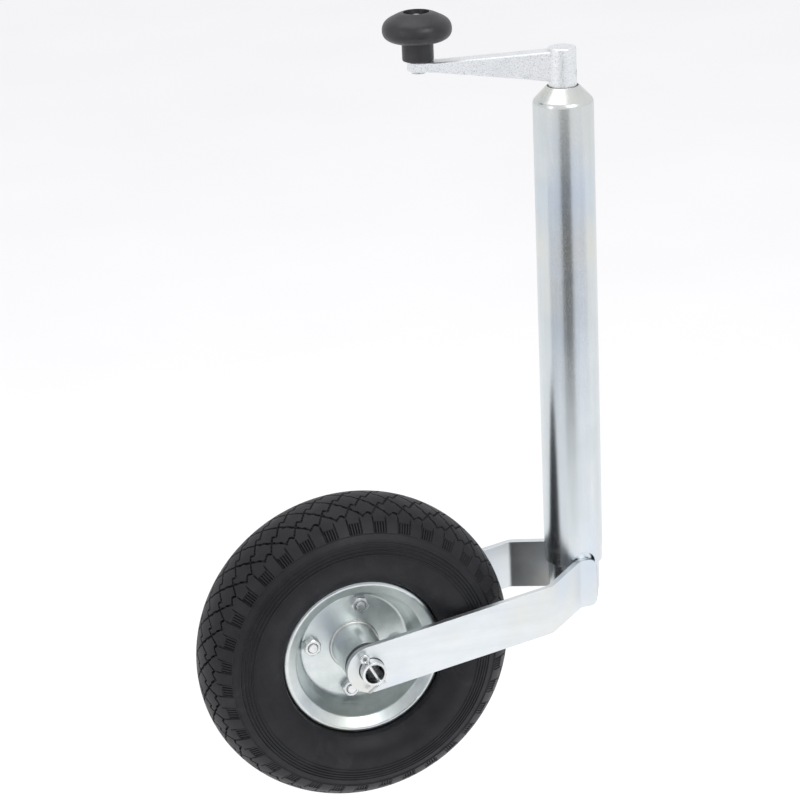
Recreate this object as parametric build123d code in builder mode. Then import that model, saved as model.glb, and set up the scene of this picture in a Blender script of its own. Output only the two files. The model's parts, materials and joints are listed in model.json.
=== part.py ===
from build123d import *
import math
import os

# A trailer jockey wheel: a crank and screw lift a wheel fork inside a steel tube.
# The origin is on the tube's axis, where the outer tube's plain wall starts, just above its
# notched lower end. +Z runs up the tube, the wheel stands towards -X and its axle lies along
# Y. Sizes are in millimetres.

# ---- driving dimensions ----------------------------------------------------------------
# outer tube
tube_radius = 24.0
tube_wall = 2.5
tube_bore = tube_radius - tube_wall
shoulder_start = 375.0
tube_height = 386.5
mouth_radius, mouth_lip, mouth_rounding = 12.4, 0.6, 0.4
shoulder_rounding = 5.0
tube_bottom, end_band_relief = -12.5, 0.4
notch_radius, notch_top, notch_offset = 10.0, -0.5, 1.0

# head bush and thrust bearing
bush_bottom, bush_step, bush_top = 369.5, 375.5, 383.9
bush_flange_radius = 17.0
journal_radius = 8.0
running_gap = 0.06
race_gap = 0.18
race_outer, race_thickness = 18.0, 3.0
upper_race_bottom = 366.5
ball_radius, ball_circle, ball_count = 2.3, 13.5, 14
ball_gap = 0.2

# spindle
thread_radius, thread_root = 9.0, 7.2
pitch = 4.0
thread_top, thread_bottom = 347.5, 67.5
collar_radius, collar_height = 14.0, 6.0
spindle_tip_chamfer = 2.0

# crank
crank_azimuth = 151.0
crank_reach = 114.0
boss_radius = 11.2
boss_bottom, boss_top = 384.5, 417.0
socket_depth_left = 5.5
root_bottom, root_top = 390.5, 415.1
tip_bottom, tip_top = 397.0, 405.0
root_width, tip_width = 17.0, 15.0
tip_overhang, tip_facet = 8.5, 4.6
tip_pad = 15.0
casting_rounding = 1.2
crank_pin_radius, crank_pin_bore, crank_pin_height = 3.0, 1.8, 396.5
crank_pin_engagement = 1.0
cut_margin = 1.0

# knob and its rivet
knob_radius = 27.5
knob_neck_radius = 12.5
knob_bottom, knob_underside, knob_widest, knob_top = 405.5, 421.0, 430.0, 444.0
knob_flare_run, knob_flare_rise = 4.0, 1.8
knob_dome_run, knob_dome_drop, knob_dome_lift = 8.5, 3.2, 0.12
knob_recess_radius, knob_recess_foot, knob_recess_floor = 10.3, 9.3, 438.0
rivet_radius, rivet_head_radius, rivet_head_height, rivet_head_edge = 4.0, 6.5, 4.0, 1.0
rivet_foot_radius, rivet_foot_height = 5.6, 1.6
knob_clearance = 0.08

# inner tube and screw nut
inner_radius, inner_bore = 20.9, 18.4
inner_bottom, inner_top = -38.5, 339.5
nut_bottom = 315.5
nut_flange_height = 5.0
nut_bore = 9.3
guide_gap = 0.08

# wheel
wheel_x, wheel_z = -192.2, -57.5
tyre_radius, tyre_half_width = 130.0, 43.5
tyre_wall = 5.5
sidewall_swell, sidewall_run = 5.2, 6.0
bead_outline = [
    (67.9, 33.5),
    (66.8, 29.0),
    (66.8, 24.2),
    (60.0, 23.8),
    (57.6, 22.4),
    (55.8, 18.8),
    (54.6, 17.0),
    (54.6, 13.5),
    (57.4, 13.8),
    (61.0, 18.6),
    (68.0, 22.8),
    (74.5, 33.0),
]
air_tube_radius, air_tube_wall, air_tube_centre = 30.0, 1.5, 90.0

# rim halves and hub
rim_plate = 2.0
rim_outline = [(45.6, 1.0), (49.8, 8.8), (55.2, 23.0), (63.0, 27.6), (65.4, 27.0), (65.4, 24.6)]
rim_bends = (4.5, 3.0, 1.6, 1.6, 1.3)
hub_radius, hub_bore, hub_half_length = 18.9, 15.4, 41.0
hub_weld, hub_weld_crown = 2.2, 1.1

# rim bolts
bolt_circle, bolt_count, bolt_phase = 36.5, 4, 81.2
bolt_radius = 4.0
nut_across, nut_height = 13.0, 6.5
bolt_end = 9.8
bolt_end_chamfer = 1.0

# hub bushes, axle, washers and split pins
axle_radius, axle_wall, axle_half_length = 10.0, 2.0, 62.2
bush_length, bush_flange, bush_rim_radius = 22.0, 2.5, 18.4
washer_radius, washer_bore = 15.0, 10.3
washer_inner_face, washer_outer_face = 44.0, 47.6
split_pin_y, split_pin_angle = 57.6, 27.7
split_pin_radius, leg_radius = 1.7, 1.2
eye_radius, eye_wire = 2.9, 1.3
split_hole_radius = 2.1
leg_start, leg_bend, leg_length, leg_offset = 10.4, 4.0, 12.0, 0.6
leg_splay, leg_overlap, eye_clearance = 1.0, 1.0, 1.0

# valve
valve_angle = 126.0
valve_radius, valve_seat_y, valve_root = 4.0, 9.0, 60.0
valve_inner_reach, valve_bend, valve_end_y = 42.0, 7.0, 30.0
valve_cap_radius, valve_cap_length = 4.8, 9.0

# fork arms
arm_thickness, arm_width = 5.0, 40.0
arm_slope = 9.3
arm_outer_face = 52.9
arm_hole_radius = 10.6
arm_end_x = 10.5
arm_top, arm_bottom = -6.1, -47.1
arm_first_bend, arm_second_bend, arm_bend_lag = -39.0, -4.0, 4.0
arm_bend_radius = 9.0
arm_top_corner, arm_bottom_corner = 6.9, 6.0
arm_soft_corner = 25.0
weld_radius, weld_bottom, weld_top = 3.0, -43.5, -14.0
weld_x = (-9.6, 10.6)
weld_y = (21.6, 19.6)

# ---- derived planes and axes -----------------------------------------------------------
wheel_centre = Vector(wheel_x, 0, wheel_z)
wheel_section = Plane(origin=wheel_centre, x_dir=(1, 0, 0), z_dir=(0, 0, 1))
wheel_axis = Axis(wheel_centre, (0, 1, 0))
wheel_face = Plane(origin=wheel_centre, x_dir=(1, 0, 0), z_dir=(0, -1, 0))

crank_direction = Vector(1, 0, 0).rotate(Axis.Z, crank_azimuth)
crank_side = crank_direction.cross(Vector(0, 0, 1))
crank_section = Plane(origin=(0, 0, 0), x_dir=crank_direction, z_dir=crank_side)
crank_plan = Plane(origin=(0, 0, 0), x_dir=crank_direction, z_dir=(0, 0, 1))
knob_centre = crank_direction * crank_reach
knob_section = Plane(origin=knob_centre, x_dir=crank_direction, z_dir=crank_side)
knob_axis = Axis(knob_centre, (0, 0, 1))

sides = {"near": -1, "far": 1}
parts = {}


def keep(name, builder):
    """Label a finished sub-part and note it for export."""
    builder.part.label = name
    parts[name] = builder.part


def turned(profile, plane=Plane.XZ, axis=Axis.Z):
    """A closed outline of (radius, height) points, revolved about an axis."""
    with BuildPart() as piece:
        with BuildSketch(plane):
            with BuildLine():
                Polyline(*profile, close=True)
            make_face()
        revolve(axis=axis)
    return piece


def keep_pair(name, near):
    """Keep a near-side sub-part and its mirror image on the wheel's far side."""
    with BuildPart() as far:
        mirror(near.part, about=Plane.XZ)
    keep(f"{name}_near", near)
    keep(f"{name}_far", far)


# ---- outer tube ------------------------------------------------------------------------
with BuildPart() as outer_tube:
    with BuildSketch(Plane.XZ):
        with BuildLine():
            FilletPolyline(
                (tube_radius, 0),
                (tube_radius, shoulder_start),
                (mouth_radius + mouth_lip, tube_height),
                (mouth_radius, tube_height),
                radius=(shoulder_rounding, mouth_rounding),
            )
            Line((mouth_radius, tube_height), (mouth_radius, tube_height - tube_wall))
            FilletPolyline(
                (mouth_radius, tube_height - tube_wall),
                (tube_bore, shoulder_start - tube_wall / 2),
                (tube_bore, tube_bottom),
                radius=shoulder_rounding - tube_wall,
            )
            Polyline(
                (tube_bore, tube_bottom),
                (tube_radius - end_band_relief, tube_bottom),
                (tube_radius - end_band_relief, 0),
                (tube_radius, 0),
            )
        make_face()
    revolve(axis=Axis.Z)
    with BuildSketch(Plane.XZ):
        with Locations((notch_offset, notch_top - notch_radius)):
            Circle(notch_radius)
        with Locations((notch_offset, tube_bottom)):
            Rectangle(2 * notch_radius, 2 * (notch_top - notch_radius - tube_bottom))
    extrude(amount=2 * tube_radius, both=True, mode=Mode.SUBTRACT)
keep("outer_tube", outer_tube)

# ---- head bush, thrust bearing ---------------------------------------------------------
head_bush = turned([
    (journal_radius + running_gap, bush_bottom),
    (bush_flange_radius, bush_bottom),
    (bush_flange_radius, bush_step),
    (mouth_radius, bush_step),
    (mouth_radius, bush_top),
    (journal_radius + running_gap, bush_top),
])
keep("head_bush", head_bush)

lower_race_bottom = upper_race_bottom - 2 * (ball_radius + ball_gap) - race_thickness
for name, bottom, bore in (
    ("thrust_race_upper", upper_race_bottom, journal_radius + race_gap),
    ("thrust_race_lower", lower_race_bottom, journal_radius),
):
    keep(name, turned([
        (bore, bottom),
        (race_outer, bottom),
        (race_outer, bottom + race_thickness),
        (bore, bottom + race_thickness),
    ]))

with BuildPart() as thrust_balls:
    with Locations((0, 0, upper_race_bottom - ball_gap - ball_radius)):
        with PolarLocations(ball_circle, ball_count):
            Sphere(ball_radius)
keep("thrust_balls", thrust_balls)

# ---- spindle: annular grooves at the thread's pitch ------------------------------------
collar_bottom = lower_race_bottom - collar_height
spindle_top = boss_top - socket_depth_left
groove_depth_run = pitch / 8
crest = pitch / 2 - groove_depth_run
thread_outline = []
for turn in range(round((thread_top - thread_bottom) / pitch)):
    z = thread_top - turn * pitch
    thread_outline += [
        (thread_radius, z),
        (thread_radius, z - crest),
        (thread_root, z - crest - groove_depth_run),
        (thread_root, z - pitch + groove_depth_run),
    ]
with BuildPart() as spindle:
    with BuildSketch(Plane.XZ):
        with BuildLine():
            Polyline(
                (0, spindle_top),
                (journal_radius, spindle_top),
                (journal_radius, thread_top + running_gap),
                *thread_outline,
                (thread_root, thread_bottom),
                (thread_root - spindle_tip_chamfer, thread_bottom - spindle_tip_chamfer),
                (0, thread_bottom - spindle_tip_chamfer),
                close=True,
            )
        make_face()
    revolve(axis=Axis.Z)
    with Locations(Plane(origin=(0, 0, crank_pin_height), z_dir=crank_direction)):
        Hole(crank_pin_radius)
keep("spindle", spindle)

keep("spindle_collar", turned([
    (journal_radius, collar_bottom),
    (collar_radius, collar_bottom),
    (collar_radius, lower_race_bottom),
    (journal_radius, lower_race_bottom),
]))

# ---- crank handle ----------------------------------------------------------------------
tip_x = crank_reach + tip_overhang
crank_pin_plane = Plane(origin=(0, 0, crank_pin_height), z_dir=-crank_direction)
with BuildPart() as crank_handle:
    with BuildSketch(crank_section):
        Polygon(
            (0, root_bottom),
            (crank_reach - tip_pad, tip_bottom),
            (tip_x, tip_bottom),
            (tip_x, tip_top),
            (crank_reach - tip_pad, tip_top),
            (0, root_top),
            align=None,
        )
    extrude(amount=root_width, both=True)
    with BuildSketch(crank_plan.offset(root_bottom - cut_margin)):
        Polygon(
            (0, -root_width / 2),
            (tip_x - tip_facet, -tip_width / 2),
            (tip_x, tip_facet - tip_width / 2),
            (tip_x, tip_width / 2 - tip_facet),
            (tip_x - tip_facet, tip_width / 2),
            (0, root_width / 2),
            align=None,
        )
    extrude(amount=root_top - root_bottom + 2 * cut_margin, mode=Mode.INTERSECT)
    fillet(crank_handle.edges().filter_by(Axis.Z, reverse=True), radius=casting_rounding)
    with BuildSketch(Plane.XY.offset(boss_bottom)):
        Circle(boss_radius)
    extrude(amount=boss_top - boss_bottom)
    fillet(crank_handle.faces().sort_by(Axis.Z)[-1].edges(), radius=casting_rounding)
    with BuildSketch(Plane.XY.offset(boss_bottom)):
        Circle(journal_radius)
    extrude(amount=spindle_top - boss_bottom, mode=Mode.SUBTRACT)
    with BuildSketch(crank_pin_plane):
        Circle(crank_pin_radius)
    extrude(amount=2 * boss_radius, mode=Mode.SUBTRACT)
    with Locations(knob_centre):
        Hole(rivet_radius, depth=2 * boss_top)
keep("crank_handle", crank_handle)

with BuildPart() as crank_pin:
    with BuildSketch(crank_pin_plane.offset(crank_pin_engagement - journal_radius)):
        Circle(crank_pin_radius)
        Circle(crank_pin_bore, mode=Mode.SUBTRACT)
    extrude(amount=journal_radius - crank_pin_engagement + boss_radius - casting_rounding)
keep("crank_pin", crank_pin)

# ---- knob and rivet --------------------------------------------------------------------
with BuildPart() as knob:
    with BuildSketch(knob_section):
        with BuildLine():
            bore = rivet_radius + knob_clearance
            Polyline(
                (bore, knob_recess_floor),
                (bore, knob_bottom),
                (knob_neck_radius, knob_bottom),
                (knob_neck_radius, knob_underside),
            )
            Spline(
                (knob_neck_radius, knob_underside),
                (knob_radius - knob_flare_run, knob_underside + knob_flare_rise),
                (knob_radius, knob_widest),
                tangents=((1, 0), (0, 1)),
            )
            Spline(
                (knob_radius, knob_widest),
                (knob_radius - knob_dome_run, knob_top - knob_dome_drop),
                (knob_recess_radius, knob_top),
                tangents=((0, 1), (-1, knob_dome_lift)),
            )
            Polyline(
                (knob_recess_radius, knob_top),
                (knob_recess_foot, knob_recess_floor),
                (bore, knob_recess_floor),
            )
        make_face()
    revolve(axis=knob_axis)
    neck_edge = knob.faces().sort_by(Axis.Z)[0].edges().sort_by(SortBy.LENGTH)[-1]
    fillet(neck_edge, radius=casting_rounding)
keep("knob", knob)

with BuildPart() as knob_rivet:
    with BuildSketch(knob_section):
        head_bottom = knob_recess_floor + ball_gap
        with BuildLine():
            Polyline(
                (0, head_bottom + rivet_head_height),
                (0, tip_bottom - rivet_foot_height),
                (rivet_foot_radius, tip_bottom - rivet_foot_height),
                (rivet_foot_radius, tip_bottom),
                (rivet_radius, tip_bottom),
                (rivet_radius, head_bottom),
                (rivet_head_radius, head_bottom),
                (rivet_head_radius, head_bottom + rivet_head_edge),
            )
            TangentArc(
                (0, head_bottom + rivet_head_height),
                (rivet_head_radius, head_bottom + rivet_head_edge),
                tangent=(1, 0),
            )
        make_face()
    revolve(axis=knob_axis)
keep("knob_rivet", knob_rivet)

# ---- inner tube and nut ----------------------------------------------------------------
keep("inner_tube", turned([
    (inner_bore, inner_bottom),
    (inner_radius, inner_bottom),
    (inner_radius, inner_top),
    (inner_bore, inner_top),
]))
keep("spindle_nut", turned([
    (nut_bore, nut_bottom),
    (inner_bore, nut_bottom),
    (inner_bore, inner_top),
    (tube_bore - guide_gap, inner_top),
    (tube_bore - guide_gap, inner_top + nut_flange_height),
    (nut_bore, inner_top + nut_flange_height),
]))

# ---- fork arms -------------------------------------------------------------------------
arm_mid = arm_outer_face - arm_thickness / 2
arm_weld_mid = inner_radius + arm_thickness / 2 + ball_gap / 2
slope = math.radians(arm_slope)
along = Vector(math.cos(slope), math.sin(slope))
across = Vector(-math.sin(slope), math.cos(slope))
axle_point = Vector(wheel_x, wheel_z)
half_width = arm_width / 2


def edge_height(x, side):
    """Height of the straight bar's upper (+1) or lower (-1) edge at x."""
    return wheel_z + math.tan(slope) * (x - wheel_x) + side * half_width / math.cos(slope)


round_start = axle_point + across * half_width
round_middle = axle_point - along * half_width
round_end = axle_point - across * half_width
upper_bend_x = arm_first_bend - arm_bend_lag
upper_bend = Vector(upper_bend_x, edge_height(upper_bend_x, 1))
lower_bend = Vector(arm_first_bend, edge_height(arm_first_bend, -1))

with BuildPart() as near_arm:
    with BuildSketch(Plane.XY.offset(wheel_z - arm_width)):
        with BuildLine():
            FilletPolyline(
                (wheel_x - arm_width, -arm_mid),
                (arm_first_bend, -arm_mid),
                (arm_second_bend, -arm_weld_mid),
                (arm_end_x, -arm_weld_mid),
                radius=arm_bend_radius,
            )
        trace(line_width=arm_thickness)
    extrude(amount=3 * arm_width)
    with BuildSketch(Plane.XZ):
        with BuildLine():
            ThreePointArc(round_start, round_middle, round_end)
            FilletPolyline(
                round_end,
                lower_bend,
                (arm_second_bend, arm_bottom),
                (arm_end_x, arm_bottom),
                (arm_end_x, arm_top),
                (arm_second_bend, arm_top),
                upper_bend,
                round_start,
                radius=(arm_soft_corner, arm_soft_corner, arm_bottom_corner,
                        arm_top_corner, arm_soft_corner, arm_soft_corner),
            )
        make_face()
        with Locations(axle_point):
            Circle(arm_hole_radius, mode=Mode.SUBTRACT)
    extrude(amount=arm_outer_face + arm_thickness, mode=Mode.INTERSECT)

with BuildPart() as near_welds:
    for x, y in zip(weld_x, weld_y):
        with BuildSketch(Plane.XY.offset(weld_bottom)):
            with Locations((x, -y)):
                Circle(weld_radius)
        extrude(amount=weld_top - weld_bottom)
    fillet(near_welds.faces().filter_by(Axis.Z).edges(), radius=casting_rounding)
    with BuildSketch(Plane.XY.offset(weld_bottom - cut_margin)):
        Circle(inner_radius)
    extrude(amount=weld_top - weld_bottom + 2 * cut_margin, mode=Mode.SUBTRACT)
    add(near_arm.part, mode=Mode.SUBTRACT)

keep_pair("fork_arm", near_arm)
keep_pair("fork_weld", near_welds)

# ---- wheel: tyre, air tube, valve ------------------------------------------------------
side_r = tyre_radius - tyre_half_width
inner_half = tyre_half_width - tyre_wall
with BuildPart() as tyre:
    with BuildSketch(wheel_section):
        with BuildLine():
            ThreePointArc((side_r, -tyre_half_width), (tyre_radius, 0), (side_r, tyre_half_width))
            ThreePointArc((side_r, -inner_half), (side_r + inner_half, 0), (side_r, inner_half))
            for side in sides.values():
                bead = [Vector(r, side * y) for r, y in bead_outline]
                Spline(
                    (side_r, side * tyre_half_width),
                    bead[0] + Vector(sidewall_run, side * sidewall_swell),
                    bead[0],
                    tangents=((-1, 0), (-1, -side)),
                )
                Polyline(*bead, (side_r, side * inner_half))
        make_face()
    revolve(axis=wheel_axis)
keep("tyre", tyre)

with BuildPart() as air_tube:
    with BuildSketch(wheel_section):
        with Locations((air_tube_centre, 0)):
            Circle(air_tube_radius)
            Circle(air_tube_radius - air_tube_wall, mode=Mode.SUBTRACT)
    revolve(axis=wheel_axis)
keep("air_tube", air_tube)

# ---- rim halves ------------------------------------------------------------------------
rim_mid = rim_plate / 2
with BuildPart() as near_rim:
    with BuildSketch(wheel_section):
        with BuildLine():
            FilletPolyline(
                (hub_radius + ball_gap, -rim_mid),
                *[(r, -y) for r, y in rim_outline],
                radius=rim_bends,
            )
        trace(line_width=rim_plate)
    revolve(axis=wheel_axis)
    with BuildSketch(wheel_face.offset(-rim_plate)):
        with PolarLocations(bolt_circle, bolt_count, start_angle=bolt_phase):
            Circle(bolt_radius)
    extrude(amount=3 * rim_plate, mode=Mode.SUBTRACT)

valve_turn = math.radians(valve_angle)
valve_out = Vector(math.cos(valve_turn), 0, math.sin(valve_turn))
valve_plane = Plane(origin=wheel_centre, x_dir=valve_out, z_dir=valve_out.cross(Vector(0, 1, 0)))
with BuildPart() as valve_stem:
    with BuildLine(valve_plane):
        stem_path = FilletPolyline(
            (valve_root, valve_seat_y),
            (valve_inner_reach, valve_seat_y),
            (valve_inner_reach, valve_end_y),
            radius=valve_bend,
        )
    with BuildSketch(Plane(origin=stem_path @ 0, z_dir=stem_path % 0)):
        Circle(valve_radius)
    sweep()
keep("valve_stem", valve_stem)

with BuildPart() as valve_cap:
    with BuildSketch(Plane(origin=stem_path @ 1, z_dir=stem_path % 1)):
        Circle(valve_cap_radius)
    extrude(amount=valve_cap_length)
    fillet(valve_cap.faces().sort_by(Axis.Y)[-1].edges(), radius=casting_rounding)
keep("valve_cap", valve_cap)

keep("rim_near", near_rim)
with BuildPart() as rim_far:
    mirror(near_rim.part, about=Plane.XZ)
    with BuildSketch(Plane(origin=stem_path @ 0, z_dir=stem_path % 0)):
        Circle(valve_radius + ball_gap)
    extrude(amount=valve_root - valve_inner_reach, both=True, mode=Mode.SUBTRACT)
keep("rim_far", rim_far)

# ---- rim bolts and nuts ----------------------------------------------------------------
flat_turn = 180 / 6
hex_radius = nut_across / 2 / math.cos(math.radians(flat_turn))
with BuildPart() as rim_nuts:
    with BuildSketch(wheel_face.offset(rim_plate)):
        with PolarLocations(bolt_circle, bolt_count, start_angle=bolt_phase):
            RegularPolygon(hex_radius, 6, rotation=flat_turn)
            Circle(bolt_radius, mode=Mode.SUBTRACT)
    extrude(amount=nut_height)
keep("rim_nuts", rim_nuts)

with BuildPart() as rim_bolts:
    with BuildSketch(wheel_face.offset(-rim_plate)):
        with PolarLocations(bolt_circle, bolt_count, start_angle=bolt_phase):
            RegularPolygon(hex_radius, 6, rotation=flat_turn)
    extrude(amount=-nut_height)
    with BuildSketch(wheel_face.offset(-rim_plate)):
        with PolarLocations(bolt_circle, bolt_count, start_angle=bolt_phase):
            Circle(bolt_radius)
    extrude(amount=rim_plate + bolt_end)
    chamfer(rim_bolts.faces().sort_by(Axis.Y)[0:bolt_count].edges(), length=bolt_end_chamfer)
keep("rim_bolts", rim_bolts)

# ---- hub -------------------------------------------------------------------------------
hub_tube = turned([
    (hub_bore, -hub_half_length),
    (hub_radius, -hub_half_length),
    (hub_radius, hub_half_length),
    (hub_bore, hub_half_length),
], wheel_section, wheel_axis)
keep("hub_tube", hub_tube)

for name, side in sides.items():
    disc = side * rim_plate
    keep(f"hub_weld_{name}", turned([
        (hub_radius, disc),
        (hub_radius + hub_weld, disc),
        (hub_radius + hub_weld_crown, disc + side * hub_weld_crown),
        (hub_radius, disc + side * hub_weld),
    ], wheel_section, wheel_axis))
    bush_bore = axle_radius + running_gap
    inner_end = side * (hub_half_length - bush_length)
    face = side * hub_half_length
    rim_face = side * (hub_half_length + bush_flange)
    keep(f"hub_bush_{name}", turned([
        (bush_bore, inner_end),
        (hub_bore, inner_end),
        (hub_bore, face),
        (bush_rim_radius, face),
        (bush_rim_radius, rim_face),
        (bush_bore, rim_face),
    ], wheel_section, wheel_axis))
    keep(f"axle_washer_{name}", turned([
        (washer_bore, side * washer_inner_face),
        (washer_radius, side * washer_inner_face),
        (washer_radius, side * washer_outer_face),
        (washer_bore, side * washer_outer_face),
    ], wheel_section, wheel_axis))

# ---- axle and split pins ---------------------------------------------------------------
pin_turn = math.radians(split_pin_angle)
pin_down = Vector(math.sin(pin_turn), 0, -math.cos(pin_turn))
with BuildPart() as axle:
    with BuildSketch(wheel_face):
        Circle(axle_radius)
        Circle(axle_radius - axle_wall, mode=Mode.SUBTRACT)
    extrude(amount=axle_half_length, both=True)
    for side in sides.values():
        hole_middle = wheel_centre + Vector(0, side * split_pin_y, 0)
        with BuildSketch(Plane(origin=hole_middle, z_dir=pin_down)):
            Circle(split_hole_radius)
        extrude(amount=2 * axle_radius, both=True, mode=Mode.SUBTRACT)
keep("axle", axle)

pin_middle = wheel_centre + Vector(0, -split_pin_y, 0)
pin_plane = Plane(origin=pin_middle, x_dir=pin_down, z_dir=(0, -1, 0))
shank_start = axle_radius + eye_clearance
eye_centre = pin_middle - pin_down * (shank_start + eye_radius)
with BuildPart() as near_pin:
    with BuildSketch(Plane(origin=pin_middle - pin_down * shank_start, z_dir=pin_down)):
        Circle(split_pin_radius)
    extrude(amount=shank_start + leg_start)
    with Locations(Plane(origin=eye_centre, z_dir=pin_plane.z_dir)):
        Torus(eye_radius, eye_wire)
    for bend_side, length in ((1, leg_length), (-1, leg_length / 3)):
        bend_reach = leg_start + leg_bend / 2
        with BuildLine(pin_plane):
            leg = FilletPolyline(
                (leg_start - leg_overlap, -bend_side * leg_offset),
                (bend_reach, -bend_side * leg_offset),
                (bend_reach + leg_splay, -bend_side * length),
                radius=leg_bend / 2,
            )
        with BuildSketch(Plane(origin=leg @ 0, z_dir=leg % 0)):
            Circle(leg_radius)
        sweep(path=leg)
keep_pair("split_pin", near_pin)

# ---- write the sub-parts ---------------------------------------------------------------
os.makedirs("parts", exist_ok=True)
for name, shape in parts.items():
    export_step(shape, f"parts/{name}.step")
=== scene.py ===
import json
import math

import bmesh
import bpy
import numpy as np
from mathutils import Matrix, Vector


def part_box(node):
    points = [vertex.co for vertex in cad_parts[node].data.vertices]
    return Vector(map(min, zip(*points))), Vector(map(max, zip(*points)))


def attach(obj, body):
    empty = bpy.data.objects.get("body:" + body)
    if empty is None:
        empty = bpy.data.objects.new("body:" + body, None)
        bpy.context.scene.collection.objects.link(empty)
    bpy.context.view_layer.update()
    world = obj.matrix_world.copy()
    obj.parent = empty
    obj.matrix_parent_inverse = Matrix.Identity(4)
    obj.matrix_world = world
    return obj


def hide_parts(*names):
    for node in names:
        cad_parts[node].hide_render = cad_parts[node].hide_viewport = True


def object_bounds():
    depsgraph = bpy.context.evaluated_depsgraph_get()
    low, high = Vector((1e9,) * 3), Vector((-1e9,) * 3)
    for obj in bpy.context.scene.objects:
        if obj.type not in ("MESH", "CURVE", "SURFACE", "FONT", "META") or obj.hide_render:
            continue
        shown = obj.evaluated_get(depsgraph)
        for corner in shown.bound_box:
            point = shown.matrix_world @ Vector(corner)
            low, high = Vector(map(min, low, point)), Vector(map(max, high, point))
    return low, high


# A trailer jockey wheel: zinc plated tubes, crank and fork, and a pneumatic wheel with a
# diamond block tread. Lengths are in metres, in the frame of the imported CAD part, and angles
# are in degrees. A name that ends in _MM is in millimetres.
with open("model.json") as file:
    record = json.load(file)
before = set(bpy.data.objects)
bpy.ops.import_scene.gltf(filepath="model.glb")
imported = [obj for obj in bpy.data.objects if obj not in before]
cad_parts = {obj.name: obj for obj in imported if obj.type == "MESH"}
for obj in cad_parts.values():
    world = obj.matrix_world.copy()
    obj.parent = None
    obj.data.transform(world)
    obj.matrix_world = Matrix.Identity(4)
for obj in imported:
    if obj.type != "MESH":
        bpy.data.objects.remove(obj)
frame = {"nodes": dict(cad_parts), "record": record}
cad_low, cad_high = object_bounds()
NODES = frame["nodes"]
MM = 0.001


# ---- places read from the frame --------------------------------------------------------
def centre_of(node):
    """The middle of a CAD node's box."""
    low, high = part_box(node)
    return (low + high) / 2


wheel_centre = centre_of("tyre")
tyre_low, tyre_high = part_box("tyre")
tyre_radius = (tyre_high.x - tyre_low.x) / 2
tyre_half_width = (tyre_high.y - tyre_low.y) / 2
hub_low, hub_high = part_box("hub_tube")
hub_radius = (hub_high.x - hub_low.x) / 2


# ---- camera ----------------------------------------------------------------------------
CAMERA_AZIMUTH, CAMERA_ELEVATION, CAMERA_ROLL = -16.181, 20.171, -2.614
CAMERA_TARGET, CAMERA_DISTANCE = Vector((-0.1432, 0, 0.1466)), 2.2014
LENS_MM, SENSOR_MM = 124.78, 36


def aim_camera():
    """A long lens at the near left, looking down on the object."""
    azimuth, elevation = math.radians(CAMERA_AZIMUTH), math.radians(CAMERA_ELEVATION)
    roll = math.radians(CAMERA_ROLL)
    back = Vector((
        math.sin(azimuth) * math.cos(elevation),
        -math.cos(azimuth) * math.cos(elevation),
        math.sin(elevation),
    ))
    level_right = (-back).cross(Vector((0, 0, 1))).normalized()
    level_up = back.cross(level_right)
    right = level_right * math.cos(roll) + level_up * math.sin(roll)
    up = level_up * math.cos(roll) - level_right * math.sin(roll)
    data = bpy.data.cameras.new("camera")
    data.lens = LENS_MM
    data.sensor_width = SENSOR_MM
    camera = bpy.data.objects.new("camera", data)
    turn = Matrix((right, up, back)).transposed().to_4x4()
    camera.matrix_world = Matrix.Translation(CAMERA_TARGET + back * CAMERA_DISTANCE) @ turn
    bpy.context.scene.collection.objects.link(camera)
    bpy.context.scene.camera = camera


aim_camera()


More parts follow.
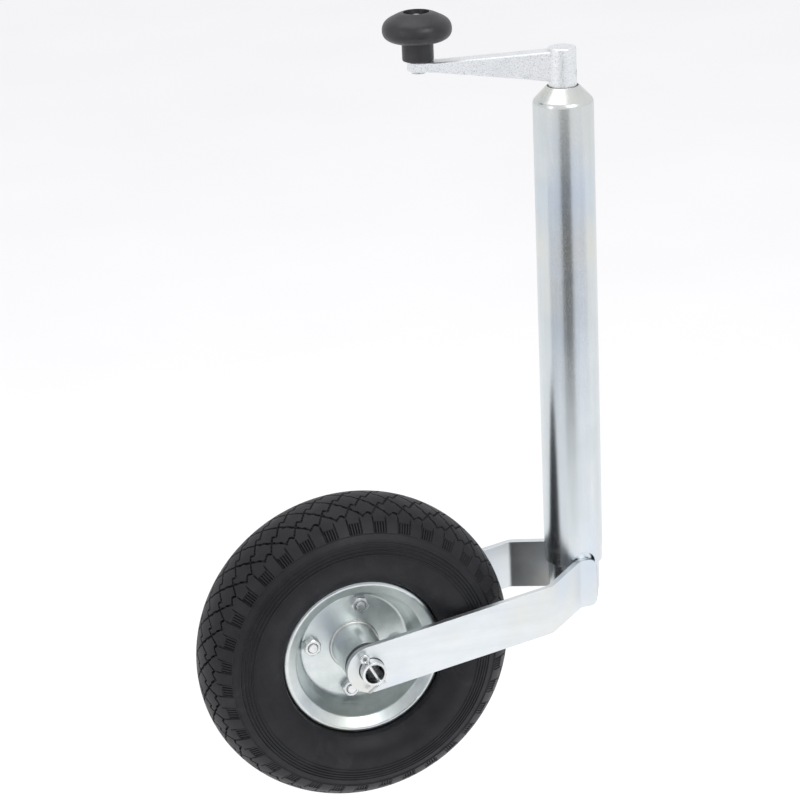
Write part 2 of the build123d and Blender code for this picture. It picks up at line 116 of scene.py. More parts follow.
# ---- node materials --------------------------------------------------------------------
class Graph:
    """One material's nodes, with short calls for the nodes used here."""

    def __init__(self, name):
        self.material = bpy.data.materials.new(name)
        self.material.use_nodes = True
        self.tree = self.material.node_tree
        self.shader = self.tree.nodes["Principled BSDF"]
        self.place = self.add("ShaderNodeTexCoord").outputs["Object"]

    def add(self, kind, **settings):
        node = self.tree.nodes.new(kind)
        for key, value in settings.items():
            setattr(node, key, value)
        return node

    def link(self, source, socket):
        self.tree.links.new(source, socket)

    def stretched(self, scale):
        """Object coordinates with their own scale along each axis."""
        mapping = self.add("ShaderNodeMapping")
        mapping.inputs["Scale"].default_value = scale
        self.link(self.place, mapping.inputs["Vector"])
        return mapping.outputs["Vector"]

    def noise(self, scale, detail=3.0, rough=0.55, stretch=None, warp=0.0):
        node = self.add("ShaderNodeTexNoise")
        node.inputs["Scale"].default_value = scale
        node.inputs["Detail"].default_value = detail
        node.inputs["Roughness"].default_value = rough
        node.inputs["Distortion"].default_value = warp
        self.link(self.stretched(stretch) if stretch else self.place, node.inputs["Vector"])
        return node.outputs["Fac"]

    def cells(self, scale):
        node = self.add("ShaderNodeTexVoronoi")
        node.inputs["Scale"].default_value = scale
        self.link(self.place, node.inputs["Vector"])
        return node.outputs["Distance"]

    def spread(self, value, low, high, out_low=0.0, out_high=1.0):
        """Map a value's range, clamped, to another range."""
        node = self.add("ShaderNodeMapRange")
        node.inputs["From Min"].default_value = low
        node.inputs["From Max"].default_value = high
        node.inputs["To Min"].default_value = out_low
        node.inputs["To Max"].default_value = out_high
        self.link(value, node.inputs["Value"])
        return node.outputs["Result"]

    def ramp(self, value, *stops):
        """Colours at positions, as (position, (r, g, b))."""
        node = self.add("ShaderNodeValToRGB")
        elements = node.color_ramp.elements
        while len(elements) < len(stops):
            elements.new(0.5)
        for element, (position, colour) in zip(elements, stops):
            element.position = position
            element.color = (*colour, 1)
        self.link(value, node.inputs["Fac"])
        return node.outputs["Color"]

    def mix(self, share, a, b):
        """Two colours mixed by a linked share; a colour is an output or an (r, g, b)."""
        node = self.add("ShaderNodeMix", data_type="RGBA")
        factor, first, second = (node.inputs[index] for index in (0, 6, 7))
        self.link(share, factor)
        for socket, colour in ((first, a), (second, b)):
            if isinstance(colour, tuple):
                socket.default_value = (*colour, 1)
            else:
                self.link(colour, socket)
        return node.outputs[2]

    def blended(self, a, b, share):
        """Two values added, the first taken by a share and the second by the rest."""
        return self.maths("ADD", self.maths("MULTIPLY", a, share), self.maths("MULTIPLY", b, 1 - share))

    def maths(self, operation, a, b):
        """Two values in one operation; the second is an output or a number."""
        node = self.add("ShaderNodeMath", operation=operation)
        first, second = node.inputs[:2]
        self.link(a, first)
        if isinstance(b, float):
            second.default_value = b
        else:
            self.link(b, second)
        return node.outputs["Value"]

    def edge_highlight_mask(self, radius, sharpness=0.25):
        """1 on sharp edges and 0 on faces, from the difference a bevelled normal makes; it places painted
        highlights on edges.
        """
        bevel = self.add("ShaderNodeBevel", samples=4)
        bevel.inputs["Radius"].default_value = radius
        face = self.add("ShaderNodeNewGeometry").outputs["Normal"]
        dot = self.add("ShaderNodeVectorMath", operation="DOT_PRODUCT")
        self.link(bevel.outputs["Normal"], dot.inputs[0])
        self.link(face, dot.inputs[1])
        return self.spread(dot.outputs["Value"], 1.0, 1.0 - sharpness)

    def bump(self, height, distance, rounding=0.0, under=None):
        """A bump of a full height in metres, over edges rounded by a radius or over another bump."""
        node = self.add("ShaderNodeBump")
        node.inputs["Strength"].default_value = 1.0
        node.inputs["Distance"].default_value = distance
        self.link(height, node.inputs["Height"])
        if rounding:
            bevel = self.add("ShaderNodeBevel", samples=4)
            bevel.inputs["Radius"].default_value = rounding
            under = bevel.outputs["Normal"]
        if under is not None:
            self.link(under, node.inputs["Normal"])
        return node.outputs["Normal"]

    def finish(self, colour, roughness, normal, metallic=0.0, **sockets):
        """Fill the shader: linked colour, roughness and normal, plain values for the rest."""
        self.link(colour, self.shader.inputs["Base Color"])
        self.link(roughness, self.shader.inputs["Roughness"])
        self.link(normal, self.shader.inputs["Normal"])
        self.shader.inputs["Metallic"].default_value = metallic
        for name, value in sockets.items():
            self.shader.inputs[name.replace("_", " ")].default_value = value
        return self.material


# Painted highlight on edges: metal edges are made brighter than the metal by the first gain, plastic ones
# by the second.
EDGE_HIGHLIGHT_GAIN, PLASTIC_EDGE_HIGHLIGHT_GAIN = 1.12, 3


def zinc(name, light, dark, rough, grain, grain_height, stretch=(1, 1, 1), tint=None, patch=14,
         rounding=0.4 * MM):
    """Zinc plate: cloudy patches, drawing or rolling streaks, fine grain and painted highlights on edges.
    """
    g = Graph(name)
    cloud = g.noise(patch, detail=4, rough=0.6, warp=0.4)
    streak = g.noise(120, detail=4, rough=0.65, stretch=stretch)
    fine = g.noise(grain, detail=3, rough=0.6)
    mixed = g.blended(cloud, streak, 0.5)
    colour = g.ramp(mixed, (0.36, dark), (0.62, light))
    if tint:
        warm, cool = tint
        colour = g.mix(g.spread(g.noise(9, detail=2), 0.5, 0.68), colour, warm)
        colour = g.mix(g.spread(g.noise(11, detail=2, stretch=(1, 1, 0.7)), 0.52, 0.7), colour, cool)
    # Painted highlight: the sharp edges are mixed towards a lighter copy of the light colour.
    edges = g.edge_highlight_mask(rounding)
    zinc_edge_highlight = tuple(min(1.0, channel * EDGE_HIGHLIGHT_GAIN) for channel in light)
    colour = g.mix(g.maths("MULTIPLY", edges, 0.7), colour, zinc_edge_highlight)
    roughness = g.spread(g.blended(fine, mixed, 0.4), 0.3, 0.7, *rough)
    normal = g.bump(streak, 0.012 * MM, rounding=rounding)
    normal = g.bump(fine, grain_height, under=normal)
    return g.finish(colour, roughness, normal, metallic=1.0)


def cast_zinc():
    """Galvanised forging: a coarse granular skin over bright metal, with a painted highlight on its edges.
    """
    g = Graph("crank_galvanised")
    cloud = g.noise(30, detail=4)
    grain = g.noise(1250, detail=3, rough=0.6)
    pits = g.cells(1300)
    colour = g.ramp(
        grain,
        (0.33, (0.46, 0.48, 0.50)),
        (0.44, (0.84, 0.86, 0.87)),
        (0.62, (0.94, 0.95, 0.96)),
    )
    colour = g.mix(g.spread(cloud, 0.45, 0.75, 0.0, 0.35), colour, (0.70, 0.74, 0.73))
    # Painted highlight: the sharp edges are mixed towards near white.
    colour = g.mix(g.maths("MULTIPLY", g.edge_highlight_mask(0.5 * MM), 0.6), colour, (0.95, 0.95, 0.96))
    roughness = g.spread(grain, 0.35, 0.65, 0.30, 0.50)
    normal = g.bump(grain, 0.20 * MM, rounding=0.7 * MM)
    normal = g.bump(pits, 0.08 * MM, under=normal)
    return g.finish(colour, roughness, normal, metallic=1.0)


def steel(name, light, dark, rough, scratch=(1, 1, 12)):
    """Turned or ground bare steel with tool marks and a thin film of grease."""
    g = Graph(name)
    marks = g.noise(260, detail=3, stretch=scratch)
    film = g.noise(45, detail=3)
    colour = g.ramp(marks, (0.3, dark), (0.7, light))
    colour = g.mix(g.spread(film, 0.52, 0.75, 0.0, 0.5), colour, (0.30, 0.28, 0.25))
    roughness = g.spread(film, 0.3, 0.7, *rough)
    normal = g.bump(marks, 0.02 * MM, rounding=0.3 * MM)
    return g.finish(colour, roughness, normal, metallic=1.0)


def rubber(name, light, dark, dust_and_edge_highlight, rough):
    """Moulded rubber: mottled black, dust, edges lightened partly as scuffing and partly as a painted
    highlight, and a fine skin.
    """
    g = Graph(name)
    mottle = g.noise(60, detail=5, rough=0.6)
    fine = g.noise(1400, detail=3)
    scuff = g.noise(26, detail=6, rough=0.7, warp=0.6)
    colour = g.ramp(mottle, (0.3, dark), (0.7, light))
    colour = g.mix(g.spread(scuff, 0.56, 0.74, 0.0, 0.35), colour, dust_and_edge_highlight)
    # Edges lightened towards the dust colour: partly scuffing, partly a painted highlight.
    colour = g.mix(g.maths("MULTIPLY", g.edge_highlight_mask(0.5 * MM, 0.4), 0.45), colour, dust_and_edge_highlight)
    roughness = g.spread(g.blended(scuff, fine, 0.6), 0.35, 0.65, *rough)
    normal = g.bump(mottle, 0.05 * MM)
    normal = g.bump(fine, 0.05 * MM, under=normal)
    return g.finish(colour, roughness, normal, IOR=1.5, Specular_IOR_Level=0.3)


def plastic(name, light, dark, rough, grain=1100, grain_height=0.05 * MM):
    """Injection moulded plastic: fine spark-eroded grain, slight flow marks, and a painted highlight on
    edges.
    """
    g = Graph(name)
    fine = g.noise(grain, detail=3, rough=0.6)
    flow = g.noise(40, detail=4, warp=0.8)
    colour = g.ramp(flow, (0.35, dark), (0.68, light))
    # Painted highlight: the sharp edges are mixed towards a colour three times the light one.
    plastic_edge_highlight = tuple(PLASTIC_EDGE_HIGHLIGHT_GAIN * channel for channel in light)
    colour = g.mix(g.maths("MULTIPLY", g.edge_highlight_mask(0.6 * MM), 0.4), colour, plastic_edge_highlight)
    roughness = g.spread(g.blended(flow, fine, 0.5), 0.35, 0.65, *rough)
    normal = g.bump(fine, grain_height, rounding=0.4 * MM)
    normal = g.bump(flow, 0.08 * MM, under=normal)
    return g.finish(colour, roughness, normal, IOR=1.5)


WARM, COOL = (0.74, 0.73, 0.66), (0.64, 0.71, 0.79)
OLIVE, BLUISH = (0.66, 0.70, 0.62), (0.68, 0.73, 0.77)
MATERIALS = {
    "outer_tube_zinc": zinc(
        "outer_tube_zinc", (0.72, 0.76, 0.77), (0.58, 0.63, 0.65), (0.20, 0.32),
        grain=1500, grain_height=0.004 * MM, stretch=(1, 1, 0.04), tint=(WARM, COOL),
    ),
    "inner_tube_zinc": zinc(
        "inner_tube_zinc", (0.72, 0.75, 0.76), (0.60, 0.64, 0.65), (0.20, 0.32),
        grain=1500, grain_height=0.005 * MM, stretch=(1, 1, 0.05),
    ),
    "fork_zinc": zinc(
        "fork_zinc", (0.82, 0.85, 0.86), (0.71, 0.75, 0.77), (0.32, 0.46),
        grain=1300, grain_height=0.02 * MM, stretch=(0.1, 1, 1), tint=(WARM, COOL), patch=22,
        rounding=0.6 * MM,
    ),
    "weld_metal": zinc(
        "weld_metal", (0.84, 0.84, 0.82), (0.60, 0.61, 0.60), (0.28, 0.45),
        grain=700, grain_height=0.08 * MM, patch=90,
    ),
    "rim_zinc": zinc(
        "rim_zinc", (0.76, 0.80, 0.79), (0.60, 0.65, 0.64), (0.26, 0.40),
        grain=1300, grain_height=0.012 * MM, tint=(OLIVE, BLUISH), patch=30,
    ),
    "fastener_zinc": zinc(
        "fastener_zinc", (0.80, 0.81, 0.81), (0.58, 0.60, 0.60), (0.18, 0.32),
        grain=1500, grain_height=0.01 * MM, patch=120, rounding=0.3 * MM,
    ),
    "crank_galvanised": cast_zinc(),
    "bare_steel": steel("bare_steel", (0.66, 0.66, 0.67), (0.44, 0.44, 0.45), (0.20, 0.38)),
    "knob_plastic": plastic(
        "knob_plastic", (0.026, 0.026, 0.030), (0.010, 0.010, 0.012), (0.30, 0.50),
        grain=700, grain_height=0.09 * MM,
    ),
    "tyre_rubber": rubber(
        "tyre_rubber", (0.013, 0.013, 0.016), (0.006, 0.006, 0.008), (0.050, 0.050, 0.060), (0.40, 0.60),
    ),
    "air_tube_rubber": rubber(
        "air_tube_rubber", (0.03, 0.03, 0.03), (0.015, 0.015, 0.015), (0.2, 0.2, 0.2), (0.5, 0.7),
    ),
    "valve_brass": steel(
        "valve_brass", (0.78, 0.66, 0.42), (0.60, 0.50, 0.32), (0.20, 0.36), scratch=(8, 1, 8),
    ),
    "valve_cap_plastic": plastic(
        "valve_cap_plastic", (0.025, 0.025, 0.026), (0.012, 0.012, 0.013), (0.40, 0.55),
    ),
    "bush_plastic": plastic("bush_plastic", (0.07, 0.07, 0.075), (0.045, 0.045, 0.05), (0.35, 0.5)),
}
SLOT_OF = {row["node"]: row["material_slot"] for row in frame["record"]["subparts"]}


def dress_cad_nodes():
    """Give every CAD node the material of its slot."""
    for node, obj in NODES.items():
        obj.data.materials.clear()
        obj.data.materials.append(MATERIALS[SLOT_OF[node]])


dress_cad_nodes()


# ---- mesh helpers ----------------------------------------------------------------------
def new_piece(name, vertices, faces, body, slot, node, crease):
    """A mesh piece that rides on a body in place of a CAD node, sharp at its creases."""
    mesh = bpy.data.meshes.new(name)
    mesh.from_pydata(vertices, [], faces)
    mesh.validate()
    mesh.shade_smooth()
    mesh.set_sharp_from_angle(angle=math.radians(crease))
    mesh.materials.append(MATERIALS[slot])
    piece = bpy.data.objects.new(name, mesh)
    bpy.context.scene.collection.objects.link(piece)
    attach(piece, body)
    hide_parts(node)
    return piece


def ring_faces(first, second, count):
    """Quads between two closed rings of equal count, from the number of each ring's first vertex."""
    return [
        (first + i, first + (i + 1) % count, second + (i + 1) % count, second + i)
        for i in range(count)
    ]


def loop_faces(loops, size, closed=False, first=0):
    """Quads between successive rings from a first vertex on, and back to the first ring if closed."""
    faces = []
    for index in range(loops if closed else loops - 1):
        faces += ring_faces(first + index * size, first + (index + 1) % loops * size, size)
    return faces


# ---- tyre ------------------------------------------------------------------------------
# The outer surface is a half circle about a ring. A vertex is placed by its angle over that
# half circle, 0 on the crown, and its angle round the wheel. The tread repeats every PITCH.
section_radius = tyre_half_width
section_ring = tyre_radius - section_radius

# The fine columns round the wheel, and how many of them one coarse column of the sidewalls spans.
PITCHES, COLUMNS, STRIDE = 35, 28, 7
PITCH = 360 / PITCHES
COLUMN = PITCH / COLUMNS
# The millimetres that one degree is on the tread, round the wheel and over it.
ROUND_MM = math.radians(tyre_radius) / MM
OVER_MM = math.radians(section_radius) / MM

# The tread ends at TREAD_EDGE each side of the crown. Its grooves run in long rows of bars that
# step across the tread, crossed by rows of short marks.
TREAD_EDGE, ROW_STEP = 35.6, 1.08
BARS_A_SIDE = 5
STEP_ROUND, STEP_OVER = PITCH / 4, 20 / 3
BAR_ROUND, BAR_OVER = 0.65 * STEP_ROUND, 0.84 * STEP_OVER
MARK_ROUND, MARK_OVER = 0.25 * STEP_ROUND, 0.25 * STEP_OVER
LUG_START, ROW_START = 124.55, 118.65
# Vertices out to SNAP_MM past a groove's flat floor are moved to the groove's upper edge.
GROOVE_HALF_MM, GROOVE_FLOOR_MM, SNAP_MM = 0.85, 0.42, 0.8
NEVER_ZERO_MM = 1e-6
GROOVE_DEPTH = 2.6 * MM

# Angles down the shoulder: where its ribs and the cut beside them start, where its lugs end,
# where the sidewall starts, and its rows.
RIB_TOP, LUG_END = 43.5, 56.0
RIB_CUT_TOP, SIDEWALL_START = TREAD_EDGE + 4, LUG_END + 1
SHOULDER_ROWS = [
    37.6, 40.5, RIB_TOP - 0.2, RIB_TOP + 0.7, 49.5, LUG_END - 0.6, LUG_END + 0.3, LUG_END + 1.4,
]
SIDEWALL_SINK, RIB_SINK, RIB_DEPTH = 0.9 * MM, 0.6 * MM, 1.1 * MM
COLUMNS_A_RIB = 3

# Angles down the sidewall: its fine concentric ridges, and its rows above and below them.
RIDGES = (65.5, 69.2, 72.7, 76.2, 79.7)
RIDGE_HEIGHT, RIDGE_HALF, RIDGE_DRAFT = 0.8 * MM, 0.95, 0.5
ROWS_ABOVE_RIDGES, ROWS_BELOW_RIDGES = [59.5, 62.5], [82.5, 86.0, 90.0]

# The lip at the rim, and from there the bead and the inside, as (radius, half width).
LIP_RADIUS, LIP_HALF = 67.9 * MM, 33.5 * MM
BEAD_MM = [
    (66.8, 29.0), (66.8, 24.2), (60.0, 23.8), (57.6, 22.4), (55.8, 18.8), (54.6, 17.0),
    (54.6, 13.5), (57.4, 13.8), (61.0, 18.6), (68.0, 22.8), (74.5, 33.0),
]
LINING_RADIUS = 38.0 * MM
LOWER_STEPS, LINING_STEPS = 9, 6


def groove_lines():
    """The grooves that repeat every pitch, each a run of (angle round, angle over) points."""
    edge_over = BARS_A_SIDE * STEP_OVER
    long_row = []
    for step in range(2 * BARS_A_SIDE + 1):
        middle = Vector((ROW_START + step * STEP_ROUND, edge_over - step * STEP_OVER))
        half_bar = Vector((BAR_ROUND / 2, -BAR_OVER / 2))
        long_row += [middle - half_bar, middle + half_bar]
    cross_row = []
    for step in range(BARS_A_SIDE + 1):
        back = step * Vector((PITCH / 2, 2 * STEP_OVER))
        middle = Vector((LUG_START + MARK_ROUND, edge_over)) - back
        half_mark = Vector((-MARK_ROUND, MARK_OVER))
        cross_row += [middle - half_mark, middle + half_mark]
    # Each link joins an end of the cross row, some pitches on or back, to an end of the long row.
    near_link = [cross_row[0] - Vector((PITCH, 0)), long_row[0]]
    far_link = [cross_row[-1] + Vector((4 * PITCH, 0)), long_row[-1]]
    return long_row, cross_row, near_link, far_link


def cut_tread(turns, overs):
    """Snap vertices to the groove edges and give (angle round, angle over, depth) for each."""
    turn, over = np.meshgrid(turns, overs)
    place = np.stack([turn * ROUND_MM, over * OVER_MM], axis=-1)
    nearest = np.full(turn.shape, np.inf)
    foot = np.zeros_like(place)
    for line in groove_lines():
        for start, end in zip(line, line[1:]):
            a = np.array([start.x * ROUND_MM, start.y * OVER_MM])
            run = np.array([end.x * ROUND_MM, end.y * OVER_MM]) - a
            base = round(float(turns.mean() - start.x) / PITCH)
            for lap in (base - 1, base, base + 1):
                first = a + np.array([lap * PITCH * ROUND_MM, 0])
                share = np.clip(((place - first) @ run) / (run @ run), 0, 1)
                point = first + share[..., None] * run
                away = np.linalg.norm(place - point, axis=-1)
                closer = away < nearest
                nearest[closer] = away[closer]
                foot[closer] = point[closer]
    in_tread = np.abs(over) <= TREAD_EDGE
    edge = in_tread & (nearest > GROOVE_FLOOR_MM) & (nearest < GROOVE_FLOOR_MM + SNAP_MM)
    floor = in_tread & (nearest <= GROOVE_FLOOR_MM)
    stretch = GROOVE_HALF_MM / np.maximum(nearest, NEVER_ZERO_MM)
    snapped = foot + (place - foot) * stretch[..., None]
    place[edge] = snapped[edge]
    depth = np.where(floor, GROOVE_DEPTH, 0.0)
    return place[..., 0] / ROUND_MM, place[..., 1] / OVER_MM, depth


def shoulder_depth(column, over):
    """How far the shoulder is cut below the tread at a column of the pitch and an angle over."""
    side = abs(over)
    place = column if over > 0 else (COLUMNS - column) % COLUMNS
    if side > SIDEWALL_START:
        return SIDEWALL_SINK
    if place == 0 and side < LUG_END:
        return RIB_DEPTH
    if place == COLUMNS // 2 and RIB_CUT_TOP < side < LUG_END:
        return RIB_DEPTH
    if place > COLUMNS // 2 and RIB_TOP < side < LUG_END:
        between_ribs = (place - COLUMNS // 2) % COLUMNS_A_RIB == 0
        return RIB_SINK + (RIB_DEPTH if between_ribs else 0.0)
    return 0.0


def ridge_rise(side):
    """Height of the fine concentric ridges at an angle down the sidewall."""
    nearest = min(abs(side - ridge) for ridge in RIDGES)
    share = (RIDGE_HALF - nearest) / (RIDGE_HALF - RIDGE_DRAFT)
    return RIDGE_HEIGHT * min(max(share, 0.0), 1.0)


def sidewall_rows():
    """Angles of the rows from the lugs down to the widest line of the tyre."""
    rows = list(ROWS_ABOVE_RIDGES)
    for ridge in RIDGES:
        rows += [ridge - RIDGE_HALF, ridge - RIDGE_DRAFT, ridge + RIDGE_DRAFT, ridge + RIDGE_HALF]
    return rows + ROWS_BELOW_RIDGES


def lower_sidewall():
    """(radius, half width) from the widest line in to the lip at the rim, as one smooth curve."""
    start = Vector((section_ring, section_radius - SIDEWALL_SINK))
    end = Vector((LIP_RADIUS, LIP_HALF))
    pull = (start - end).length / 3
    first = start + Vector((-1, 0)) * pull
    second = end + Vector((1, 1)).normalized() * pull
    points = []
    for step in range(1, LOWER_STEPS + 1):
        t = step / LOWER_STEPS
        points.append(
            start * (1 - t) ** 3
            + first * 3 * t * (1 - t) ** 2
            + second * 3 * t * t * (1 - t)
            + end * t ** 3
        )
    return points


def wheel_point(radius, across, angle):
    """A point on the wheel: radius and angle about the axle, and its place across."""
    turn = math.radians(angle)
    return wheel_centre + Vector((radius * math.cos(turn), across, radius * math.sin(turn)))


def fine_rings():
    """The tread and shoulders as rings of points, from one side to the other."""
    turns = LUG_START + COLUMN * np.arange(COLUMNS)
    crown = np.linspace(-TREAD_EDGE, TREAD_EDGE, round(2 * TREAD_EDGE / ROW_STEP) + 1)
    overs = np.array([-angle for angle in reversed(SHOULDER_ROWS)] + list(crown) + SHOULDER_ROWS)
    turn, over, depth = cut_tread(turns, overs)
    for row, angle in enumerate(overs):
        if abs(angle) > TREAD_EDGE:
            depth[row] = [shoulder_depth(column, angle) for column in range(COLUMNS)]
    rings = []
    for row in range(len(overs)):
        ring = []
        for pitch in range(PITCHES):
            for column in range(COLUMNS):
                reach = section_radius - depth[row, column]
                side = math.radians(over[row, column])
                radius = section_ring + reach * math.cos(side)
                ring.append(wheel_point(radius, -reach * math.sin(side), turn[row, column] + pitch * PITCH))
        rings.append(ring)
    return rings


def coarse_rings(count):
    """The sidewall, bead, lining, far bead and far sidewall as rings of a count of points."""
    outline = []
    for side in sidewall_rows():
        reach = section_radius - SIDEWALL_SINK + ridge_rise(side)
        down = math.radians(side)
        outline.append((section_ring + reach * math.cos(down), -reach * math.sin(down)))
    outline += [(point.x, -point.y) for point in lower_sidewall()]
    outline += [(radius * MM, -half * MM) for radius, half in BEAD_MM]
    lining = []
    for step in range(-LINING_STEPS, LINING_STEPS + 1):
        turn = math.radians(90 * step / LINING_STEPS)
        lining.append((section_ring + LINING_RADIUS * math.cos(turn), LINING_RADIUS * math.sin(turn)))
    far_outline = [(radius, -across) for radius, across in reversed(outline)]
    return [
        [wheel_point(radius, across, LUG_START + index * 360 / count) for index in range(count)]
        for radius, across in outline + lining + far_outline
    ]


def make_tyre():
    """The whole tyre as one closed mesh: fine columns over the tread, coarse ones elsewhere."""
    fine, coarse = COLUMNS * PITCHES, COLUMNS // STRIDE * PITCHES
    tread, rest = fine_rings(), coarse_rings(coarse)
    vertices = [point for ring in tread + rest for point in ring]
    base = len(tread) * fine
    faces = loop_faces(len(tread), fine) + loop_faces(len(rest), coarse, first=base)
    last_fine = base - fine
    last_coarse = base + (len(rest) - 1) * coarse
    for column in range(coarse):
        after = (column + 1) % coarse
        edge = [STRIDE * column + step for step in range(STRIDE)] + [STRIDE * after]
        faces.append([last_fine + step for step in edge] + [base + after, base + column])
        faces.append([last_coarse + column, last_coarse + after] + edge[::-1])
    tyre = new_piece(
        "tyre_tread_and_sidewalls", vertices, faces, "wheel", "tyre_rubber", "tyre", crease=28,
    )
    mesh = bmesh.new()
    mesh.from_mesh(tyre.data)
    bmesh.ops.recalc_face_normals(mesh, faces=mesh.faces)
    mesh.to_mesh(tyre.data)
    mesh.free()


make_tyre()


# ---- welds -----------------------------------------------------------------------------
# A bead's ripples are RIPPLE apart and rise by a share of its size. A curl bends them across it.
RIPPLE, RIPPLE_RISE = 2.1 * MM, 0.16
# Shares of the hub weld's leg: its bead's radius, how far the bead's middle is out of the corner,
# and the ripples' curl.
HUB_BEAD, HUB_MIDDLE, HUB_CURL = 0.72, 0.3, 0.35
HUB_LOOPS, HUB_AROUND = 360, 12
# The fork weld's beads: radius, the distances of the two from the middle plane, and the curl as a
# share of the radius. END_FULL is over 1, so that a bead's rounded ends don't close to a point.
FORK_BEAD, FORK_CURL, END_FULL = 3.0 * MM, 0.5, 1.02
FIRST_ACROSS, SECOND_ACROSS = 21.6 * MM, 19.6 * MM
FORK_LOOPS, FORK_AROUND = 90, 20


def ripple(run):
    """Scalloped swelling of a weld bead at a distance along it."""
    share = (run / RIPPLE) % 1
    return 1 - RIPPLE_RISE + RIPPLE_RISE * math.sqrt(1 - (1 - share) ** 2)


def make_hub_weld(name, side):
    """The rippled fillet weld between a rim's disc and the hub tube."""
    low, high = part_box(name)
    reach = (high.x - low.x) / 2
    foot = (high.y if side < 0 else low.y) - wheel_centre.y
    leg = reach - hub_radius
    vertices = []
    for loop in range(HUB_LOOPS):
        angle = 360 * loop / HUB_LOOPS
        run = math.radians(angle) * reach
        for step in range(HUB_AROUND):
            lean = math.radians(360 * step / HUB_AROUND)
            swell = HUB_BEAD * leg * ripple(run + HUB_CURL * leg * math.cos(2 * lean))
            vertices.append(wheel_point(
                hub_radius + HUB_MIDDLE * leg + swell * math.cos(lean),
                foot + side * (HUB_MIDDLE * leg + swell * math.sin(lean)),
                angle,
            ))
    faces = loop_faces(HUB_LOOPS, HUB_AROUND, closed=True)
    new_piece(f"{name}_bead", vertices, faces, "wheel", "weld_metal", name, crease=60)


def make_fork_weld(name, side):
    """The two upright rippled beads that join a fork arm to the inner tube."""
    low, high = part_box(name)
    height = high.z - low.z
    vertices, faces = [], []
    for x, y in ((low.x + FORK_BEAD, FIRST_ACROSS), (high.x - FORK_BEAD, SECOND_ACROSS)):
        first = len(vertices)
        for loop in range(FORK_LOOPS):
            rise = height * loop / (FORK_LOOPS - 1)
            inset = max(0.0, 1 - min(rise, height - rise) / FORK_BEAD)
            for step in range(FORK_AROUND):
                lean = math.radians(360 * step / FORK_AROUND)
                run = rise + FORK_CURL * FORK_BEAD * math.cos(lean) ** 2
                size = FORK_BEAD * math.sqrt(END_FULL - inset * inset) * ripple(run)
                vertices.append((x + size * math.cos(lean), side * y + size * math.sin(lean), low.z + rise))
        last = first + (FORK_LOOPS - 1) * FORK_AROUND
        faces += loop_faces(FORK_LOOPS, FORK_AROUND, first=first)
        faces.append([first + step for step in reversed(range(FORK_AROUND))])
        faces.append([last + step for step in range(FORK_AROUND)])
    new_piece(f"{name}_beads", vertices, faces, "lower_leg", "weld_metal", name, crease=60)


for weld_name, weld_side in (("near", -1), ("far", 1)):
    make_hub_weld(f"hub_weld_{weld_name}", weld_side)
    make_fork_weld(f"fork_weld_{weld_name}", weld_side)


# ---- rim bolts and nuts ----------------------------------------------------------------
BOLT_CIRCLE, BOLTS, BOLT_PHASE = 36.5 * MM, 4, 81.2
BOLT_RADIUS, BOLT_PITCH, THREAD_DEPTH = 4.0 * MM, 1.25 * MM, 0.55 * MM
# The last thread is BOLT_TIP or more short of the bolt's end, which tapers from there. A spun
# solid keeps a hole of radius AXIS_HOLE on its axis.
BOLT_TIP, AXIS_HOLE = 0.6 * MM, 0.02 * MM
# Half the width across flats, and shares of it: the circle that the chamfer leaves and the reach
# of a worn corner. BORE_CHAMFER is the chamfer at a nut's bore, and HEX_SIDE is the angle that
# one side takes up.
NUT_FLAT, NUT_CROWN, WORN_CORNER = 6.5 * MM, 0.94, 1.13
BORE_CHAMFER, CHAMFER_ANGLE = 0.5 * MM, 30
HEX_SIDE = 60
NUT_SEGMENTS = 72


def hexagon(angle):
    """Distance from the middle to the side of a nut, with slightly worn corners."""
    off_flat = (angle + HEX_SIDE / 2) % HEX_SIDE - HEX_SIDE / 2
    return min(NUT_FLAT / math.cos(math.radians(off_flat)), WORN_CORNER * NUT_FLAT)


def spun_group(name, profile, node):
    """One closed spun solid at each bolt's place; a profile row gives (reach, across) at an angle."""
    vertices, faces = [], []
    for bolt in range(BOLTS):
        turn = math.radians(BOLT_PHASE + bolt * 360 / BOLTS)
        middle = wheel_centre + BOLT_CIRCLE * Vector((math.cos(turn), 0, math.sin(turn)))
        first = len(vertices)
        for row in profile:
            for step in range(NUT_SEGMENTS):
                angle = 360 * step / NUT_SEGMENTS
                reach, across = row(angle)
                lean = turn + math.radians(angle)
                vertices.append(middle + Vector((reach * math.cos(lean), across, reach * math.sin(lean))))
        faces += loop_faces(len(profile), NUT_SEGMENTS, closed=True, first=first)
    new_piece(name, vertices, faces, "wheel", "fastener_zinc", node, crease=30)


def fixed(reach, across):
    """A profile row that is a plain circle."""
    return lambda angle: (reach, across)


def hex_rows(inner, seat, crown):
    """Profile rows of a hexagon from its seat to its crown, chamfered at both."""
    up = math.copysign(1, crown - seat)
    rim = NUT_CROWN * NUT_FLAT

    def slope(angle):
        return (hexagon(angle) - rim) * math.tan(math.radians(CHAMFER_ANGLE))

    return [
        fixed(inner, seat),
        fixed(rim, seat),
        lambda angle: (hexagon(angle), seat + up * slope(angle)),
        lambda angle: (hexagon(angle), crown - up * slope(angle)),
        fixed(rim, crown),
        fixed(inner + BORE_CHAMFER, crown),
    ]


def make_nuts():
    """Chamfered nuts on the near rim half."""
    low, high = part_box("rim_nuts")
    rows = hex_rows(BOLT_RADIUS, high.y, low.y)
    rows.append(fixed(BOLT_RADIUS, low.y + BORE_CHAMFER))
    spun_group("rim_nuts_chamfered", rows, "rim_nuts")


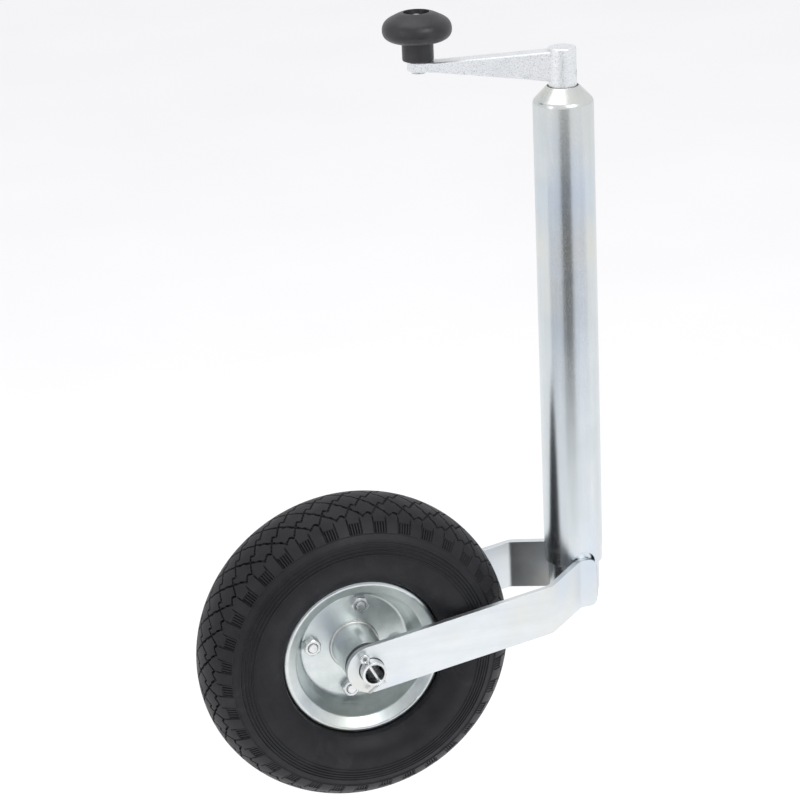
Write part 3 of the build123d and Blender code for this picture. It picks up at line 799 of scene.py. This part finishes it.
def make_bolts():
    """Bolts: chamfered heads behind the far rim half and threaded ends past the nuts."""
    low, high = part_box("rim_bolts")
    nut_low, nut_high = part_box("rim_nuts")
    seat = -nut_high.y
    rows = [fixed(AXIS_HOLE, high.y)] + hex_rows(BOLT_RADIUS, seat, high.y)[:0:-1]
    rows.append(fixed(BOLT_RADIUS, seat))
    across = nut_low.y + BOLT_PITCH
    root = BOLT_RADIUS - THREAD_DEPTH
    while across - BOLT_PITCH > low.y + BOLT_TIP:
        rows += [fixed(BOLT_RADIUS, across), fixed(root, across - BOLT_PITCH / 2)]
        across -= BOLT_PITCH
    rows += [fixed(BOLT_RADIUS, across), fixed(root, low.y), fixed(AXIS_HOLE, low.y)]
    spun_group("rim_bolts_threaded", rows, "rim_bolts")


make_nuts()
make_bolts()


# ---- floor and light -------------------------------------------------------------------
FLOOR_HALF = 14
FLAG_COLUMNS = 24
WORLD_COLOUR, WORLD_STRENGTH = (0.97, 0.97, 0.99, 1), 0.88
LIGHT_TARGET = Vector((-0.1, 0, 0.1))


def make_floor():
    """A plain pale floor, just under the wheel when the leg is wound right out."""
    mesh = bpy.data.meshes.new("floor")
    joints = frame["record"]["behaviour"]["joints"]
    stroke = next(joint["range_m"][1] for joint in joints if joint["name"] == "lift")
    height = cad_low[2] - stroke
    corners = [
        (FLOOR_HALF * x, FLOOR_HALF * y, height) for x, y in ((-1, -1), (1, -1), (1, 1), (-1, 1))
    ]
    mesh.from_pydata(corners, [], [(0, 1, 2, 3)])
    floor = bpy.data.objects.new("floor", mesh)
    bpy.context.scene.collection.objects.link(floor)
    g = Graph("floor_paper")
    soft = g.noise(3, detail=2)
    colour = g.ramp(soft, (0.3, (0.93, 0.93, 0.93)), (0.7, (0.95, 0.95, 0.95)))
    g.finish(
        colour, g.spread(soft, 0.3, 0.7, 0.85, 0.95), g.bump(soft, 0.1 * MM),
        Emission_Color=(1, 1, 1, 1), Emission_Strength=0.08,
    )
    mesh.materials.append(g.material)


def add_flag(name, azimuths, distance, top, level):
    """A card that stands round the tube between two azimuths, seen only in reflections."""
    first, last = azimuths
    vertices = []
    for column in range(FLAG_COLUMNS + 1):
        turn = math.radians(first + (last - first) * column / FLAG_COLUMNS)
        for height in (cad_low[2], top):
            vertices.append((distance * math.cos(turn), distance * math.sin(turn), height))
    faces = [(2 * k, 2 * k + 2, 2 * k + 3, 2 * k + 1) for k in range(FLAG_COLUMNS)]
    mesh = bpy.data.meshes.new(name)
    mesh.from_pydata(vertices, [], faces)
    flag = bpy.data.objects.new(name, mesh)
    bpy.context.scene.collection.objects.link(flag)
    flag.visible_camera = False
    flag.visible_diffuse = False
    flag.visible_shadow = False
    flag.visible_transmission = False
    g = Graph(name)
    soft = g.noise(4, detail=1)
    cool, cooler = (level, 1.04 * level, 1.15 * level), (level, 1.06 * level, 1.25 * level)
    colour = g.ramp(soft, (0.3, cool), (0.7, cooler))
    g.finish(colour, g.spread(soft, 0.3, 0.7, 0.9, 1.0), g.bump(soft, 0.1 * MM))
    mesh.materials.append(g.material)


def add_softbox(name, place, size, power):
    """A rectangular white area light aimed at the object's middle."""
    data = bpy.data.lights.new(name, "AREA")
    data.shape = "RECTANGLE"
    data.size, data.size_y = size
    data.energy = power
    light = bpy.data.objects.new(name, data)
    light.location = place
    light.rotation_euler = (LIGHT_TARGET - Vector(place)).to_track_quat("-Z", "Y").to_euler()
    bpy.context.scene.collection.objects.link(light)


def light_studio():
    """A pale studio, evenly bright all round, and three soft boxes."""
    world = bpy.data.worlds.new("studio")
    bpy.context.scene.world = world
    world.use_nodes = True
    background = world.node_tree.nodes["Background"]
    background.inputs["Color"].default_value = WORLD_COLOUR
    background.inputs["Strength"].default_value = WORLD_STRENGTH
    add_softbox("key", place=(0.5, -1.9, 1.7), size=(1.0, 1.0), power=15)
    add_softbox("left", place=(-2.2, -0.9, 0.9), size=(0.5, 1.4), power=4)
    add_softbox("top", place=(-0.3, 0.2, 2.4), size=(1.8, 1.8), power=11)
    bpy.context.scene.view_settings.view_transform = "Standard"


make_floor()
light_studio()
add_flag("flag_dark", azimuths=(-126, -88), distance=0.85, top=0.16, level=0.03)
add_flag("flag_grey", azimuths=(-178, -126), distance=0.95, top=0.045, level=0.50)
add_flag("flag_pale", azimuths=(-88, -30), distance=0.95, top=0.045, level=0.62)
